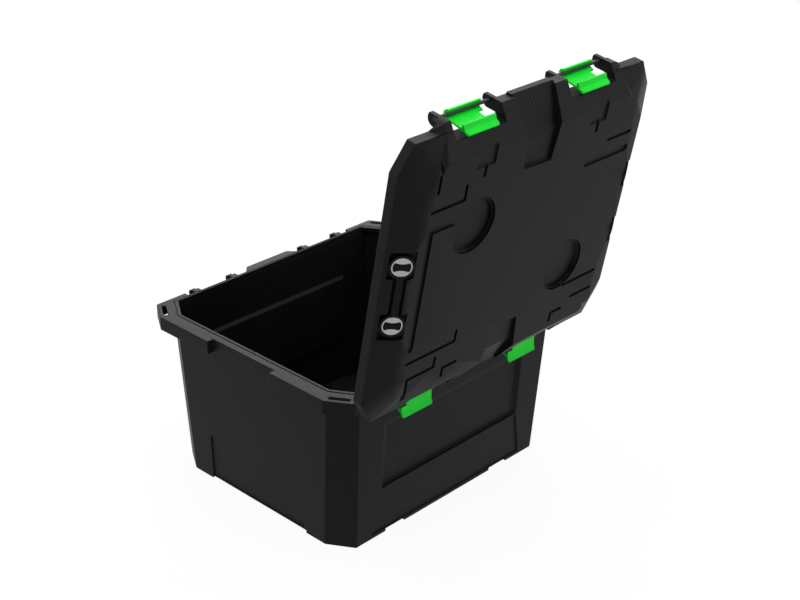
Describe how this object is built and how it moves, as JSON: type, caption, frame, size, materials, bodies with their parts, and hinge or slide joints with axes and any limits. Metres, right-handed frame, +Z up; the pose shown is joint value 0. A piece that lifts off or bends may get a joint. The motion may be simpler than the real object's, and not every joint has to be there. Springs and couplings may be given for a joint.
{
  "type": "storage box",
  "caption": "Rectangular moulded storage box with a hinged lid that stands open past upright, turning latches on rods at front and back, and tie-down bars on the lid's ends.",
  "frame": {"origin": "centre of the tub's plan on the plane that its feet stand on", "axes": "+Z up; +X along the hinge line, to the right seen from the free front edge; +Y toward the hinge side"},
  "size_m": [0.566, 0.626, 0.7664],
  "materials": {
    "black_plastic": "fine-grained satin",
    "rod_black": "smooth satin",
    "green_plastic": "semi-gloss",
    "bar_black": "smooth satin",
    "polished_metal": "polished",
    "spring_steel": "plain"
  },
  "bodies": {
    "tub": {"tub_shell": "black_plastic"},
    "lid": {"lid_shell": "black_plastic", "rod_front_left": "rod_black", "rod_front_right": "rod_black", "rod_rear_left": "rod_black", "rod_rear_right": "rod_black", "tie_bar_left": "bar_black", "tie_bar_right": "bar_black"},
    "front_latch_left": {"latch_front_left": "green_plastic"},
    "front_latch_right": {"latch_front_right": "green_plastic"},
    "rear_latch_left": {"latch_rear_left": "green_plastic"},
    "rear_latch_right": {"latch_rear_right": "green_plastic"},
    "lock_left_front": {"lock_disc_left_front": "polished_metal", "lock_grip_left_front": "bar_black", "lock_clip_left_front": "spring_steel"},
    "lock_left_rear": {"lock_disc_left_rear": "polished_metal", "lock_grip_left_rear": "bar_black", "lock_clip_left_rear": "spring_steel"},
    "lock_right_front": {"lock_disc_right_front": "polished_metal", "lock_grip_right_front": "bar_black", "lock_clip_right_front": "spring_steel"},
    "lock_right_rear": {"lock_disc_right_rear": "polished_metal", "lock_grip_right_rear": "bar_black", "lock_clip_right_rear": "spring_steel"}
  },
  "joints": [
    {"name": "lid_hinge", "type": "hinge", "parent": "tub", "child": "lid", "pos_m": [0, 0.242, 0.2822], "axis": [1, 0, 0], "range_deg": [0, 100.39]},
    {"name": "front_latch_left_turn", "type": "hinge", "parent": "lid", "child": "front_latch_left", "pos_m": [-0.1273, 0.32927, 0.75827], "axis": [1, 0, 0], "range_deg": [0, 186.3]},
    {"name": "front_latch_right_turn", "type": "hinge", "parent": "lid", "child": "front_latch_right", "pos_m": [0.1273, 0.32927, 0.75827], "axis": [1, 0, 0], "range_deg": [0, 186.3]},
    {"name": "rear_latch_left_turn", "type": "hinge", "parent": "tub", "child": "rear_latch_left", "pos_m": [-0.1273, 0.242, 0.2822], "axis": [1, 0, 0], "range_deg": [0, 75]},
    {"name": "rear_latch_right_turn", "type": "hinge", "parent": "tub", "child": "rear_latch_right", "pos_m": [0.1273, 0.242, 0.2822], "axis": [1, 0, 0], "range_deg": [0, 75]},
    {"name": "lock_left_front_turn", "type": "hinge", "parent": "lid", "child": "lock_left_front", "pos_m": [-0.26078, 0.3414, 0.56084], "axis": [-0.5777, 0.8029, -0.1472], "range_deg": [0, 90]},
    {"name": "lock_left_rear_turn", "type": "hinge", "parent": "lid", "child": "lock_left_rear", "pos_m": [-0.26078, 0.32336, 0.46248], "axis": [-0.5777, 0.8029, -0.1472], "range_deg": [0, 90]},
    {"name": "lock_right_front_turn", "type": "hinge", "parent": "lid", "child": "lock_right_front", "pos_m": [0.26078, 0.3414, 0.56084], "axis": [0.5777, 0.8029, -0.1472], "range_deg": [0, 90]},
    {"name": "lock_right_rear_turn", "type": "hinge", "parent": "lid", "child": "lock_right_rear", "pos_m": [0.26078, 0.32336, 0.46248], "axis": [0.5777, 0.8029, -0.1472], "range_deg": [0, 90]}
  ]
}
